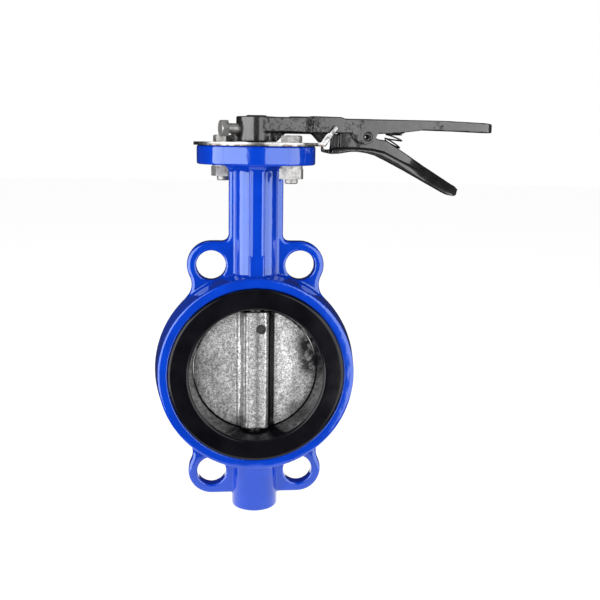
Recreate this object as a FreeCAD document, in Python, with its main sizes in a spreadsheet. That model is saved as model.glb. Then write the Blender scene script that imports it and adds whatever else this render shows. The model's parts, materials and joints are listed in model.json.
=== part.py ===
"""Lever-operated wafer butterfly valve, DN100.

Millimetres, +Z up. The origin is the centre of the bore at the body's mid-plane. The pipe runs
along Y, the stem along Z, and the closed valve's handle points along +X.
"""
import FreeCAD, Part
import math
import os
import Sketcher

Vector = FreeCAD.Vector
Rotation = FreeCAD.Rotation
Placement = FreeCAD.Placement

# Every driving dimension, in millimetres, degrees or a plain count.
SIZES = {
    # wafer body
    "ring_middle_radius": 78.7,
    "ring_face_radius": 75.5,
    "ring_half_width": 24.0,
    "body_bore_radius": 57.5,
    "liner_recess_radius": 68.0,
    "liner_recess_half_width": 21.0,
    "ring_edge_rounding": 1.2,
    # lugs, on the 180 mm bolt circle, 22.5 degrees off the stem
    "lug_hole_x": 34.442,
    "lug_hole_z": 83.149,
    "lug_hole_radius": 11.5,
    "lug_radius": 18.7,
    "lug_half_thickness": 5.5,
    "lug_waist_radius": 15.0,
    "lug_edge_rounding": 2.4,
    "lug_corner_rounding": 5.0,
    # neck and bottom boss
    "neck_radius": 17.3,
    "neck_fin_reach": 20.9,
    "neck_rib_half_width": 5.7,
    "neck_rib_reach": 19.0,
    "neck_start": 64.0,
    "neck_flare_rounding": 7.0,
    "stem_bore_start": 50.0,
    "boss_radius": 18.2,
    "boss_bottom": 113.0,
    "boss_edge_rounding": 2.0,
    # top flange and its bolt circle
    "flange_radius": 45.2,
    "flange_thickness": 14.2,
    "flange_top": 174.5,
    "flange_bolt_offset": 24.749,
    "flange_hole_radius": 5.5,
    # stem, bushes and seals
    "stem_radius": 7.9,
    "stem_foot": 96.0,
    "stem_head": 197.1,
    "stem_flats_start": 176.0,
    "stem_flat_half_width": 5.5,
    "shaft_clearance": 0.05,
    "stem_bore_radius": 8.6,
    "bush_radius": 10.4,
    "bush_length": 22.0,
    "upper_bush_top": 168.0,
    "lower_bush_bottom": 58.6,
    "o_ring_height": 157.0,
    "foot_o_ring_height": 70.0,
    "ring_chamber_radius": 12.6,
    "ring_section_radius": 0.95,
    "ring_groove_radius": 9.95,
    "thrust_washer_thickness": 1.5,
    "circlip_thickness": 1.5,
    "circlip_groove_radius": 6.9,
    "circlip_radius": 11.4,
    "circlip_slack": 0.1,
    "circlip_gap_half_width": 4.0,
    # liner
    "liner_outer_radius": 57.4,
    "liner_lip_radius": 67.85,
    "liner_face_half_width": 26.0,
    "liner_lip_back": 21.1,
    "liner_mouth_radius": 51.9,
    "liner_throat_radius": 48.9,
    "liner_throat_half_width": 5.0,
    "liner_mouth_chamfer": 1.2,
    "liner_lip_chamfer": 1.2,
    # disc
    "disc_radius": 48.6,
    "disc_rim_radius": 48.3,
    "disc_rim_half_thickness": 3.0,
    "disc_root_half_thickness": 5.0,
    "disc_hub_radius": 12.5,
    "disc_hub_half_height": 46.8,
    "disc_hub_flat": 9.7,
    "taper_pin_x": 4.3,
    "taper_pin_z": 33.4,
    "taper_pin_small_radius": 3.0,
    "taper_pin_large_radius": 3.4,
    "taper_pin_half_length": 11.2,
    "taper_pin_slack": 0.02,
    # notch plate
    "plate_radius": 47.5,
    "plate_thickness": 2.5,
    "plate_hole_radius": 12.0,
    "rim_root_radius": 45.0,
    "rim_bend_radius": 50.6,
    "rim_tip_radius": 61.0,
    "rim_tip_height": 12.9,
    "rim_drop_outward": 2.1,
    "rim_drop_down": 1.5,
    "rim_half_sweep": 62.6,
    "rim_ear_gap": 12.5,
    "notch_half_width": 2.8,
    "notch_inner_radius": 48.4,
    # plate fasteners
    "bolt_radius": 4.9,
    "bolt_head_flats": 14.0,
    "bolt_head_height": 5.3,
    "bolt_head_crown_fall": 7.9,
    "bolt_end": 147.0,
    "bolt_end_chamfer": 0.8,
    "nut_flats": 16.4,
    "nut_height": 7.6,
    "spring_washer_radius": 8.4,
    "spring_washer_thickness": 2.2,
    # handle
    "hub_radius": 15.3,
    "hub_bottom": 177.3,
    "hub_top": 196.2,
    "handle_length": 182.7,
    "handle_half_width": 12.0,
    "arm_root_half_width": 15.1,
    "arm_root_length": 42.0,
    "arm_root_bottom": 184.9,
    "arm_root_top": 195.9,
    "handle_inner_half_width": 8.0,
    "handle_tip_rounding": 11.9,
    "trigger_slot_start": 61.5,
    "handle_ceiling": 191.5,
    "grip_hollow_start": 118.0,
    "grip_hollow_end": 175.0,
    "grip_ceiling": 190.8,
    "rib_half_width": 5.0,
    "pivot_lobe_x": 81.4,
    "pivot_lobe_z": 186.6,
    "pivot_x": 83.2,
    "pivot_z": 182.1,
    "pivot_lobe_radius": 10.2,
    "pivot_lobe_start": 68.0,
    "pivot_lobe_top": 195.45,
    "pivot_pin_radius": 3.0,
    "pivot_pin_bore": 1.7,
    "spring_boss_bottom": 184.8,
    "spring_boss_start": 100.4,
    "spring_boss_end": 112.4,
    "set_bolt_radius": 3.8,
    "set_bolt_head_flats": 12.0,
    "set_bolt_head_height": 5.4,
    "set_bolt_head_start": 23.2,
    "set_bolt_crown_fall": 6.6,
    "set_bolt_z": 187.0,
    "set_bolt_turn": 16.0,
    # trigger
    "trigger_web_half_width": 7.7,
    "trigger_plate_half_width": 11.4,
    "tooth_half_width": 2.5,
    "nose_half_width": 4.2,
    # trigger spring
    "spring_wire_radius": 0.55,
}

SIDES = (-1, 1)
LUG_WIDTH = "lug_half_thickness + lug_half_thickness"

# Side outlines of the cast levers: corners as X and Z, in order round each outline.
ARM_OUTLINE = [
    ("0", "185"), ("66", "184.6"), ("98", "184.6"), ("112.4", "185.8"), ("127.7", "187.8"),
    ("155.9", "187.2"), ("handle_length", "186.3"),
    ("handle_length", "193.2"), ("174.4", "193.9"), ("143", "195.1"),
    ("66", "195.5"), ("63.5", "196.5"), ("25", "196.5"), ("23", "195.8"), ("0", "195.8"),
]
ARCH_RIB_OUTLINE = [
    ("6", "hub_bottom"), ("15.2", "hub_bottom"), ("21.6", "183.6"),
    ("42.2", "183.6"), ("48", "hub_bottom"), ("49.2", "hub_bottom"),
    ("56", "187"), ("6", "187"),
]
TRIGGER_WEB_OUTLINE = [
    ("63.2", "171.4"), ("63.2", "185.4"), ("70", "187.4"), ("77.5", "188.4"),
    ("88", "188.4"), ("91.5", "180.8"), ("98.6", "179.8"), ("152", "147"),
    ("156.6", "144.6"), ("154", "141"), ("100", "166.5"), ("80", "171.4"),
]
TRIGGER_PLATE_OUTLINE = [
    ("55.6", "168.9"), ("62", "169.2"), ("71", "170.8"), ("78", "170.8"),
    ("86.4", "169.6"), ("93", "167.9"), ("100.5", "164.4"), ("114.8", "157.2"),
    ("129.2", "149.5"), ("148.6", "139.2"), ("151.8", "137.8"),
    ("155.4", "138.4"), ("158", "143"), ("152", "145"),
    ("131.1", "153.4"), ("116.7", "160.9"), ("102.4", "168"), ("97", "170.6"),
    ("88", "172.5"), ("76", "173.4"), ("63", "173.2"), ("57", "172.4"),
]
TOOTH_OUTLINE = [
    ("49.6", "170.6"), ("53", "169.6"), ("58", "169"), ("58", "172.4"),
    ("51.5", "172.2"), ("51.3", "176.4"), ("49.8", "176.4"),
]
NOSE_OUTLINE = [("56.4", "171"), ("57.4", "184"), ("64.6", "184.2"), ("64.6", "172")]

# Where each half turn of the trigger's spring starts and ends, as X and Z.
SPRING_TURN_ENDS = [
    (112.0, 184.2), (100.2, 184.2), (112.2, 179.6), (99.4, 181.3), (110.6, 174.2), (99.6, 180.0),
]

doc = FreeCAD.newDocument("butterfly_valve")


def fill_sheet():
    """Puts every driving dimension in the spreadsheet, under its own alias."""
    sheet = doc.addObject("Spreadsheet::Sheet", "sizes")
    for row, (alias, number) in enumerate(SIZES.items(), start=1):
        sheet.set(f"A{row}", alias)
        sheet.set(f"B{row}", str(number))
        sheet.setAlias(f"B{row}", alias)
    doc.recompute()
    return sheet


sheet = fill_sheet()


def terms(formula):
    """Splits 'a + b - c' into signed terms, each an alias or a number."""
    sign = 1
    for word in formula.split():
        if word in "+-":
            sign = 1 if word == "+" else -1
            continue
        if word[0] == "-":
            sign, word = -sign, word[1:]
        yield sign, word
        sign = 1


def size(formula):
    """The value of an alias, a number or a sum of them."""
    total = 0.0
    for sign, word in terms(str(formula)):
        total += sign * (float(sheet.get(word)) if word in SIZES else float(word))
    return total


def bound(formula):
    """The same sum as an expression on the spreadsheet."""
    words = []
    for sign, word in terms(str(formula)):
        words.append("+" if sign > 0 else "-")
        words.append(f"sizes.{word}" if word in SIZES else word)
    return " ".join(words).removeprefix("+ ")


def bind(thing, **formulas):
    """Ties properties of an object to the spreadsheet."""
    for prop, formula in formulas.items():
        thing.setExpression(prop, bound(formula))


def new_body(label):
    body = doc.addObject("PartDesign::Body", label)
    body.Label = label
    return body


def new_sketch(body, name, role, offset=None):
    """A sketch on one of the body's own origin planes."""
    sketch = body.newObject("Sketcher::SketchObject", name)
    plane = next(p for p in body.Origin.OriginFeatures if p.Role == role)
    sketch.AttachmentSupport = (plane, [""])
    sketch.MapMode = "FlatFace"
    if offset:
        sketch.AttachmentOffset = offset
    return sketch


def add_circle(sketch, radius, centre=(0, 0)):
    """A circle whose centre and radius follow the spreadsheet."""
    x, y = size(centre[0]), size(centre[1])
    circle = Part.Circle(Vector(x, y, 0), Vector(0, 0, 1), size(radius))
    index = sketch.addGeometry(circle, False)
    fix = sketch.addConstraint(Sketcher.Constraint("Radius", index, size(radius)))
    sketch.setExpression(f"Constraints[{fix}]", bound(radius))
    pin_point(sketch, index, 3, centre)
    return index


def pin_point(sketch, index, end, point):
    """Holds one point of a sketch at coordinates from the spreadsheet."""
    for axis, kind, formula in ((-2, "DistanceX", point[0]), (-1, "DistanceY", point[1])):
        value = size(formula)
        if abs(value) < 1e-9:
            sketch.addConstraint(Sketcher.Constraint("PointOnObject", index, end, axis))
            continue
        fix = sketch.addConstraint(Sketcher.Constraint(kind, -1, 1, index, end, value))
        sketch.setExpression(f"Constraints[{fix}]", bound(formula))


def add_outline(sketch, points):
    """A closed run of straight lines through points from the spreadsheet."""
    places = [Vector(size(x), size(y), 0) for x, y in points]
    first = None
    for i, place in enumerate(places):
        following = places[(i + 1) % len(places)]
        index = sketch.addGeometry(Part.LineSegment(place, following), False)
        first = index if first is None else first
        if i:
            sketch.addConstraint(Sketcher.Constraint("Coincident", index - 1, 2, index, 1))
        pin_point(sketch, index, 1, points[i])
    sketch.addConstraint(Sketcher.Constraint("Coincident", index, 2, first, 1))


def rectangle(half_x, half_y):
    """A rectangle's corners, centred on the sketch's origin."""
    return [(f"-{half_x}", f"-{half_y}"), (half_x, f"-{half_y}"),
            (half_x, half_y), (f"-{half_x}", half_y)]


def raised(height_formula):
    """An offset that lifts a sketch along its plane's normal."""
    return Placement(Vector(0, 0, size(height_formula)), Rotation())


def keep_raised(sketch, height_formula):
    """Ties a sketch's lift to the spreadsheet."""
    sketch.setExpression("AttachmentOffset.Base.z", bound(height_formula))


def feature(body, kind, name, sketch):
    made = body.newObject(f"PartDesign::{kind}", name)
    made.Profile = sketch
    sketch.Visibility = False
    return made


def pad_up(body, name, height, length, draw):
    """Pads a sketch from a height along +Z."""
    sketch = new_sketch(body, name + "_sketch", "XY_Plane", raised(height))
    keep_raised(sketch, height)
    draw(sketch)
    pad = feature(body, "Pad", name, sketch)
    bind(pad, Length=length)
    return pad


def pad_across(body, name, width, draw):
    """Pads a side outline, drawn in X and Z, evenly to both sides of the XZ plane."""
    sketch = new_sketch(body, name + "_sketch", "XZ_Plane")
    draw(sketch)
    pad = feature(body, "Pad", name, sketch)
    pad.Midplane = True
    bind(pad, Length=width)
    return pad


def cut_across(body, name, width, draw):
    """Cuts a side outline, drawn in X and Z, evenly to both sides of the XZ plane."""
    before = solid_volume(body)
    sketch = new_sketch(body, name + "_sketch", "XZ_Plane")
    draw(sketch)
    pocket = feature(body, "Pocket", name, sketch)
    pocket.Midplane = True
    bind(pocket, Length=width)
    check_cut(body, name, before)
    return pocket


def cut_down(body, name, height, depth, draw):
    """Cuts a plan outline down from a height."""
    before = solid_volume(body)
    sketch = new_sketch(body, name + "_sketch", "XY_Plane", raised(height))
    keep_raised(sketch, height)
    draw(sketch)
    pocket = feature(body, "Pocket", name, sketch)
    bind(pocket, Length=depth)
    check_cut(body, name, before)
    return pocket


def turn(body, kind, name, plane, axis, points):
    """Revolves or grooves an outline once round an axis of its own sketch."""
    before = solid_volume(body)
    sketch = new_sketch(body, name + "_sketch", plane)
    add_outline(sketch, points)
    made = feature(body, kind, name, sketch)
    made.ReferenceAxis = (sketch, [axis])
    made.Angle = 360
    if kind == "Groove":
        check_cut(body, name, before)
    return made


def solid_volume(body):
    doc.recompute()
    return body.Shape.Volume if not body.Shape.isNull() else 0.0


def check_cut(body, name, before):
    """A cut that points away from the solid removes nothing and raises nothing."""
    after = solid_volume(body)
    if not after < before - 1e-3:
        raise RuntimeError(f"{name} cuts nothing: {before:.1f} to {after:.1f}")


def round_edges(body, name, radius, wanted):
    """Fillets every edge of the body's tip that the test picks."""
    doc.recompute()
    base = body.Tip
    names = [f"Edge{i}" for i, edge in enumerate(base.Shape.Edges, start=1) if wanted(edge)]
    if not names:
        raise RuntimeError(f"{name} finds no edge")
    fillet = body.newObject("PartDesign::Fillet", name)
    fillet.Base = (base, names)
    bind(fillet, Radius=radius)
    doc.recompute()
    if "Invalid" in fillet.State or fillet.Shape.isNull() or not fillet.Shape.isValid():
        raise RuntimeError(f"{name} fails on {len(names)} edges")
    return fillet


def near(number, target, slack=0.02):
    return abs(number - target) < slack


def flat_at(edge, axis, level):
    """Whether every point of an edge lies at one level of an axis."""
    box = edge.BoundBox
    low, high = getattr(box, axis + "Min"), getattr(box, axis + "Max")
    return near(low, level) and near(high, level)


def lug_waist(sketch, side, end):
    """Fills the corner between a lug and the ring up to the concave waist arc."""
    lug = Vector(size("lug_hole_x"), size("lug_hole_z"), 0)
    reach_ring = size("ring_middle_radius + lug_waist_radius")
    reach_lug = size("lug_radius + lug_waist_radius")
    along = (reach_ring ** 2 - reach_lug ** 2 + lug.Length ** 2) / (2 * lug.Length)
    across = math.sqrt(reach_ring ** 2 - along ** 2)
    outward = Vector(lug).normalize()
    sideways = Vector(outward.y, -outward.x, 0)
    centre = outward * along + sideways * across
    on_lug = lug + (centre - lug).normalize() * size("lug_radius")
    on_ring = Vector(centre).normalize() * size("ring_middle_radius")
    middle = centre - (centre - (on_lug + on_ring) * 0.5).normalize() * size("lug_waist_radius")
    inner = on_ring * 0.85

    def mirrored(point):
        return Vector(side * point.x, end * point.y, 0)

    arc = Part.Arc(mirrored(on_lug), mirrored(middle), mirrored(on_ring))
    corners = [mirrored(p) for p in (on_ring, inner, lug, on_lug)]
    sketch.addGeometry(arc, False)
    for start, stop in zip(corners, corners[1:]):
        sketch.addGeometry(Part.LineSegment(start, stop), False)


def make_valve_body():
    """The one-piece casting: ring, lugs, neck, top flange and bottom boss."""
    body = new_body("valve_body")
    turn(body, "Revolution", "ring", "XY_Plane", "V_Axis", [
        ("body_bore_radius", "-liner_recess_half_width"),
        ("liner_recess_radius", "-liner_recess_half_width"),
        ("liner_recess_radius", "-ring_half_width"),
        ("ring_face_radius", "-ring_half_width"),
        ("ring_middle_radius", "0"),
        ("ring_face_radius", "ring_half_width"),
        ("liner_recess_radius", "ring_half_width"),
        ("liner_recess_radius", "liner_recess_half_width"),
        ("body_bore_radius", "liner_recess_half_width"),
    ])
    neck_length = "flange_top - neck_start - 1"
    pad_up(body, "neck", "neck_start", neck_length, lambda s: add_circle(s, "neck_radius"))
    for name, half_x, half_y in (("neck_fins", "neck_fin_reach", "lug_half_thickness"),
                                 ("neck_ribs", "neck_rib_half_width", "neck_rib_reach")):
        corners = rectangle(half_x, half_y)
        pad_up(body, name, "neck_start", neck_length, lambda s, c=corners: add_outline(s, c))
    pad_up(body, "boss", "-boss_bottom", "boss_bottom - neck_start",
           lambda s: add_circle(s, "boss_radius"))
    pad_up(body, "flange", "flange_top - flange_thickness", "flange_thickness",
           lambda s: add_circle(s, "flange_radius"))
    for end in SIDES:
        word = "upper" if end > 0 else "lower"
        pad_across(body, f"{word}_lug_bar", LUG_WIDTH, lambda s, e=end: lug_bar(s, e))
        for side in SIDES:
            place = f"{word}_{'right' if side > 0 else 'left'}"
            pad_across(body, f"{place}_lug", LUG_WIDTH,
                       lambda s, c=lug_centre(side, end): add_circle(s, "lug_radius", c))
            pad_across(body, f"{place}_waist", LUG_WIDTH,
                       lambda s, x=side, z=end: lug_waist(s, x, z))
    round_body_edges(body)
    cut_body_holes(body)
    return body


def lug_centre(side, end):
    x = "lug_hole_x" if side > 0 else "-lug_hole_x"
    z = "lug_hole_z" if end > 0 else "-lug_hole_z"
    return (x, z)


def lug_bar(sketch, end):
    """The straight bar that joins a pair of lugs through the neck or the boss."""
    sign = "" if end > 0 else "-"
    outer = "lug_hole_z + lug_radius" if end > 0 else "-lug_hole_z - lug_radius"
    inner = f"{sign}neck_start"
    add_outline(sketch, [("-lug_hole_x", inner), ("lug_hole_x", inner),
                         ("lug_hole_x", outer), ("-lug_hole_x", outer)])


def round_body_edges(body):
    """Casting radii: neck into lugs and flange, then the lug, flange and boss rims."""
    lug_top = size("lug_hole_z + lug_radius")
    underside = size("flange_top - flange_thickness")

    def lug_into_neck(edge):
        box = edge.BoundBox
        level = flat_at(edge, "Z", lug_top)
        return level and near(abs(box.Center.x), size("neck_fin_reach")) and box.YLength > 5

    def neck_into_flange(edge):
        box = edge.BoundBox
        inside = max(abs(box.XMin), abs(box.XMax)) < size("neck_fin_reach") + 0.1
        return flat_at(edge, "Z", underside) and inside

    def lug_rim(edge):
        level = flat_at(edge, "Y", size("lug_half_thickness"))
        level = level or flat_at(edge, "Y", -size("lug_half_thickness"))
        centre = edge.BoundBox.Center
        return level and math.hypot(centre.x, centre.z) > 88 and abs(centre.x) > 22

    round_edges(body, "lug_corner_fillet", "lug_corner_rounding", lug_into_neck)
    round_edges(body, "flare_fillet", "neck_flare_rounding", neck_into_flange)
    round_edges(body, "lug_rim_fillet", "lug_edge_rounding", lug_rim)
    round_edges(body, "boss_fillet", "boss_edge_rounding",
                lambda e: flat_at(e, "Z", -size("boss_bottom")))
    round_edges(body, "ring_fillet", "ring_edge_rounding",
                lambda e: near(e.BoundBox.XLength, 2 * size("ring_face_radius"), 0.1)
                and (flat_at(e, "Y", size("ring_half_width"))
                     or flat_at(e, "Y", -size("ring_half_width"))))
    round_edges(body, "flange_fillet", "ring_edge_rounding",
                lambda e: near(e.BoundBox.XLength, 2 * size("flange_radius"), 0.1))


def cut_body_holes(body):
    """The stem's stepped bore, the lug holes and the flange's bolt holes."""
    turn(body, "Groove", "neck_bore", "XZ_Plane", "V_Axis", [
        ("0", "stem_bore_start"),
        ("bush_radius + shaft_clearance", "stem_bore_start"),
        ("bush_radius + shaft_clearance", "lower_bush_bottom + bush_length"),
        ("stem_bore_radius", "lower_bush_bottom + bush_length"),
        ("stem_bore_radius", "upper_bush_top - bush_length"),
        ("bush_radius + shaft_clearance", "upper_bush_top - bush_length"),
        ("bush_radius + shaft_clearance", "upper_bush_top"),
        ("ring_chamber_radius", "upper_bush_top"),
        ("ring_chamber_radius", "flange_top + 1"),
        ("0", "flange_top + 1"),
    ])
    turn(body, "Groove", "foot_bore", "XZ_Plane", "V_Axis", [
        ("0", "-stem_bore_start"),
        ("bush_radius + shaft_clearance", "-stem_bore_start"),
        ("bush_radius + shaft_clearance", "-lower_bush_bottom - bush_length"),
        ("stem_bore_radius", "-lower_bush_bottom - bush_length"),
        ("stem_bore_radius", "-stem_foot - 2"),
        ("0", "-stem_foot - 2"),
    ])

    def lug_holes(sketch):
        for side in SIDES:
            for end in SIDES:
                add_circle(sketch, "lug_hole_radius", lug_centre(side, end))

    cut_across(body, "lug_holes", "lug_half_thickness + lug_half_thickness + 2", lug_holes)

    def flange_holes(sketch):
        for side in ("", "-"):
            for end in ("", "-"):
                centre = (side + "flange_bolt_offset", end + "flange_bolt_offset")
                add_circle(sketch, "flange_hole_radius", centre)

    cut_down(body, "flange_holes", "flange_top + 1", "flange_thickness + 2", flange_holes)


def tube(label, bottom, length, inner, outer):
    """A plain bush or washer on the stem's axis."""
    body = new_body(label)

    def rings(sketch):
        add_circle(sketch, inner)
        add_circle(sketch, outer)

    pad_up(body, label + "_wall", bottom, length, rings)
    return body


def make_seat_liner():
    """The moulded rubber liner: a waisted bore with a lip over each face of the ring."""
    body = new_body("seat_liner")
    front = [
        ("liner_throat_radius", "-liner_throat_half_width"),
        ("liner_mouth_radius", "-liner_face_half_width + liner_mouth_chamfer"),
        ("liner_mouth_radius + liner_mouth_chamfer", "-liner_face_half_width"),
        ("liner_lip_radius - liner_lip_chamfer", "-liner_face_half_width"),
        ("liner_lip_radius", "-liner_face_half_width + liner_lip_chamfer"),
        ("liner_lip_radius", "-liner_lip_back"),
        ("liner_outer_radius", "-liner_lip_back"),
    ]
    rear = [
        ("liner_outer_radius", "liner_lip_back"),
        ("liner_lip_radius", "liner_lip_back"),
        ("liner_lip_radius", "liner_face_half_width - liner_lip_chamfer"),
        ("liner_lip_radius - liner_lip_chamfer", "liner_face_half_width"),
        ("liner_mouth_radius + liner_mouth_chamfer", "liner_face_half_width"),
        ("liner_mouth_radius", "liner_face_half_width - liner_mouth_chamfer"),
        ("liner_throat_radius", "liner_throat_half_width"),
    ]
    turn(body, "Revolution", "liner_wall", "XY_Plane", "V_Axis", front + rear)
    cut_down(body, "liner_stem_holes", "liner_outer_radius + 3",
             "liner_outer_radius + liner_outer_radius + 6",
             lambda s: add_circle(s, "stem_radius + shaft_clearance"))
    return body


def taper_pin(label, slack):
    """The pin's cone along Y, or its reamed hole when it is given some slack."""
    cone = doc.addObject("Part::Cone", label)
    cone.Label = label
    bind(cone, Radius1=f"taper_pin_small_radius + {slack}",
         Radius2=f"taper_pin_large_radius + {slack}",
         Height="taper_pin_half_length + taper_pin_half_length")
    cone.Placement = Placement(Vector(0, 0, 0), Rotation(Vector(1, 0, 0), 90))
    for axis, formula in (("x", "taper_pin_x"), ("y", "taper_pin_half_length"),
                          ("z", "taper_pin_z")):
        cone.setExpression(f"Placement.Base.{axis}", bound(formula))
    return cone


def cut_by(label, base, tool):
    """One shape less another, as a document object."""
    cut = doc.addObject("Part::Cut", label)
    cut.Label = label
    cut.Base = base
    cut.Tool = tool
    return cut


def make_disc():
    """The cast disc: a thin lens with a flat-fronted hub along the stem."""
    body = new_body("disc_casting")
    turn(body, "Revolution", "disc_lens", "XY_Plane", "V_Axis", [
        ("0", "-disc_root_half_thickness"),
        ("disc_hub_radius", "-disc_root_half_thickness"),
        ("disc_rim_radius", "-disc_rim_half_thickness"),
        ("disc_radius", "0"),
        ("disc_rim_radius", "disc_rim_half_thickness"),
        ("disc_hub_radius", "disc_root_half_thickness"),
        ("0", "disc_root_half_thickness"),
    ])
    whole_height = "disc_hub_half_height + disc_hub_half_height"
    pad_up(body, "disc_hub", "-disc_hub_half_height", whole_height,
           lambda s: add_circle(s, "disc_hub_radius"))
    for side in ("", "-"):
        beyond = f"{side}disc_hub_radius"
        near_flat = f"{side}disc_hub_flat"
        cut_down(body, f"hub_flat{'_rear' if side == '' else '_front'}", "disc_hub_half_height",
                 whole_height, lambda s, a=near_flat, b=beyond: add_outline(s, [
                     ("-disc_hub_radius", a), ("disc_hub_radius", a),
                     ("disc_hub_radius", b), ("-disc_hub_radius", b)]))
    cut_down(body, "disc_stem_hole", "disc_radius + 1", "disc_radius + disc_radius + 2",
             lambda s: add_circle(s, "stem_radius + shaft_clearance"))
    return cut_by("disc", body, taper_pin("disc_pin_hole", "taper_pin_slack"))


def make_stem():
    """The one-piece shaft, with a circlip groove and two flats for the handle."""
    body = new_body("stem_shaft")
    groove_foot = "upper_bush_top + thrust_washer_thickness"
    groove_head = f"{groove_foot} + circlip_thickness + circlip_slack + circlip_slack"
    turn(body, "Revolution", "stem_bar", "XZ_Plane", "V_Axis", [
        ("0", "-stem_foot"),
        ("stem_radius - 1", "-stem_foot"),
        ("stem_radius", "-stem_foot + 1"),
        ("stem_radius", groove_foot),
        ("circlip_groove_radius", groove_foot),
        ("circlip_groove_radius", groove_head),
        ("stem_radius", groove_head),
        ("stem_radius", "stem_head - 0.6"),
        ("stem_radius - 0.6", "stem_head"),
        ("0", "stem_head"),
    ])
    for side in ("", "-"):
        flat = f"{side}stem_flat_half_width"
        beyond = f"{side}stem_radius"
        cut_down(body, f"stem_flat{'_rear' if side == '' else '_front'}", "stem_head + 1",
                 "stem_head + 1 - stem_flats_start", lambda s, a=flat, b=beyond: add_outline(s, [
                     ("-stem_radius", a), ("stem_radius", a),
                     ("stem_radius", b), ("-stem_radius", b)]))
    return cut_by("stem", body, taper_pin("stem_pin_hole", "taper_pin_slack"))


def make_upper_bush():
    """The top bush, with a groove inside for the weather seal."""
    body = tube("upper_stem_bush", "upper_bush_top - bush_length", "bush_length",
                "stem_radius + shaft_clearance", "bush_radius")
    turn(body, "Groove", "seal_groove", "XZ_Plane", "V_Axis", seal_groove("o_ring_height"))
    return body


def make_foot_bush():
    """The bottom bush, with the same groove."""
    body = tube("bottom_stem_bush", "-lower_bush_bottom - bush_length", "bush_length",
                "stem_radius + shaft_clearance", "bush_radius")
    turn(body, "Groove", "foot_seal_groove", "XZ_Plane", "V_Axis",
         seal_groove("-foot_o_ring_height"))
    return body


def seal_groove(height):
    """A square groove round one seal's height."""
    low = f"{height} - ring_section_radius - 0.3"
    high = f"{height} + ring_section_radius + 0.3"
    return [("stem_radius", low), ("ring_groove_radius", low),
            ("ring_groove_radius", high), ("stem_radius", high)]


def group(label, members):
    """Separate solids that share one node."""
    made = doc.addObject("Part::Compound", label)
    made.Label = label
    made.Links = members
    return made


def make_o_rings():
    """Two rubber rings that seal the stem in its top and bottom bushes."""
    rings = []
    for name, height in (("upper", "o_ring_height"), ("foot", "-foot_o_ring_height")):
        ring = doc.addObject("Part::Torus", f"{name}_o_ring")
        bind(ring, Radius1="ring_groove_radius - ring_section_radius - 0.05",
             Radius2="ring_section_radius")
        ring.setExpression("Placement.Base.z", bound(height))
        rings.append(ring)
    return group("stem_o_rings", rings)


def make_circlip():
    """The open ring that keeps the stem in the neck."""
    body = tube("stem_circlip", "upper_bush_top + thrust_washer_thickness + circlip_slack",
                "circlip_thickness", "circlip_groove_radius + shaft_clearance", "circlip_radius")
    cut_down(body, "circlip_gap", "flange_top", "flange_top - upper_bush_top",
             lambda s: add_outline(s, [("circlip_groove_radius - 2", "-circlip_gap_half_width"),
                                       ("circlip_radius + 1", "-circlip_gap_half_width"),
                                       ("circlip_radius + 1", "circlip_gap_half_width"),
                                       ("circlip_groove_radius - 2", "circlip_gap_half_width")]))
    return body


def make_notch_plate():
    """The plate on the flange, with a notched rim and an upturned stop at each end of it."""
    body = new_body("notch_plate")

    def plan(sketch):
        add_circle(sketch, "plate_radius")
        add_circle(sketch, "plate_hole_radius")

    pad_up(body, "plate", "flange_top", "plate_thickness", plan)
    top = "flange_top + plate_thickness"
    sketch = new_sketch(body, "rim_sketch", "XZ_Plane",
                        Placement(Vector(), Rotation(Vector(0, 1, 0), 45)))
    add_outline(sketch, [
        ("rim_root_radius", "flange_top"),
        ("rim_bend_radius + rim_drop_outward", "flange_top"),
        ("rim_tip_radius + rim_drop_outward", f"{top} + rim_tip_height - rim_drop_down"),
        ("rim_tip_radius", f"{top} + rim_tip_height"),
        ("rim_bend_radius", top),
        ("rim_root_radius", top),
    ])
    rim = feature(body, "Revolution", "rim", sketch)
    rim.ReferenceAxis = (sketch, ["V_Axis"])
    rim.Midplane = True
    bind(rim, Angle="rim_half_sweep + rim_half_sweep")
    cut_down(body, "rim_between_stops", f"{top} + rim_tip_height + 5",
             "rim_tip_height + 5",
             lambda s: add_outline(s, [("-rim_ear_gap", "-rim_ear_gap"),
                                       ("rim_tip_radius + 5", "-rim_ear_gap"),
                                       ("rim_tip_radius + 5", "rim_tip_radius + 5"),
                                       ("-rim_ear_gap", "rim_tip_radius + 5")]))
    notch_plate_slots(body)

    def bolt_holes(sketch):
        for x, y in (("flange_bolt_offset", "-flange_bolt_offset"),
                     ("-flange_bolt_offset", "flange_bolt_offset")):
            add_circle(sketch, "flange_hole_radius", (x, y))

    cut_down(body, "plate_bolt_holes", f"{top} + 1", "plate_thickness + 2", bolt_holes)
    return body


def notch_plate_slots(body):
    """One notch in the rim for each 15 degrees from closed to fully open."""
    slot = cut_down(body, "first_notch", "flange_top + plate_thickness + 1",
                    "plate_thickness + 2",
                    lambda s: add_outline(s, [("notch_inner_radius", "-notch_half_width"),
                                              ("rim_tip_radius", "-notch_half_width"),
                                              ("rim_tip_radius", "notch_half_width"),
                                              ("notch_inner_radius", "notch_half_width")]))
    pattern = body.newObject("PartDesign::PolarPattern", "notches")
    pattern.Originals = [slot]
    pattern.Axis = (next(a for a in body.Origin.OriginFeatures if a.Role == "Z_Axis"), [""])
    pattern.Angle = 90
    pattern.Occurrences = 7
    body.Tip = pattern
    doc.recompute()


def hexagon(label, flats, height, base, turn_angle=0.0):
    """A hexagon prism standing at a point given by three formulas."""
    prism = doc.addObject("Part::Prism", label)
    prism.Polygon = 6
    prism.setExpression("Circumradius", f"({bound(flats)}) / (2 * cos(30))")
    bind(prism, Height=height)
    prism.Placement = Placement(Vector(), Rotation(Vector(0, 0, 1), turn_angle))
    place_at(prism, base)
    return prism


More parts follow.
